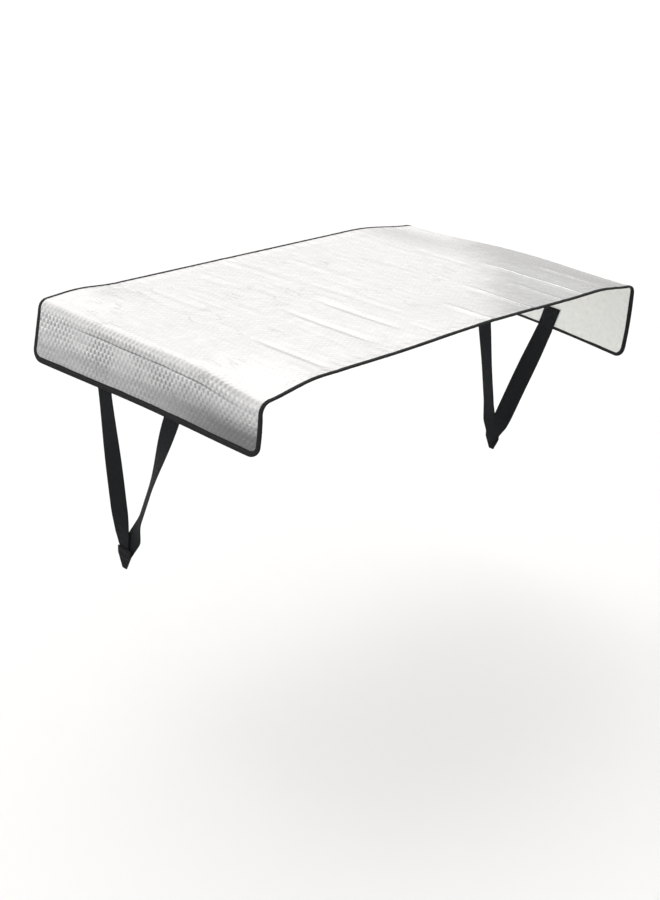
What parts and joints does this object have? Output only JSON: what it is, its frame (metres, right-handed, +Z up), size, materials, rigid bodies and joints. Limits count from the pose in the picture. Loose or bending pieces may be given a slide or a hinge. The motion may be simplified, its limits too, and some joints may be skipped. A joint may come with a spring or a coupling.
{
  "type": "air conditioner cover",
  "caption": "Foil sunshade for the top of an outdoor air conditioner: a bound rectangle of bubble foil, bent down at both ends, with a V of webbing under each end.",
  "frame": {"origin": "under the middle of the top, on the sheet's underside, where it rests on what it shades", "axes": "+X along the length to the right, +Y towards the back, +Z up"},
  "size_m": [0.8345, 0.4716, 0.3948],
  "materials": {
    "foil": "embossed silver foil over bubble film, satin",
    "binding": "black woven edge tape, matt",
    "webbing": "black polypropylene webbing, matt"
  },
  "bodies": {
    "root": {"foil_sheet": "foil", "edge_binding": "binding", "strap_left_rear": "webbing", "strap_left_front": "webbing", "tip_left": "webbing", "strap_right_rear": "webbing", "strap_right_front": "webbing", "tip_right": "webbing"}
  },
  "joints": []
}
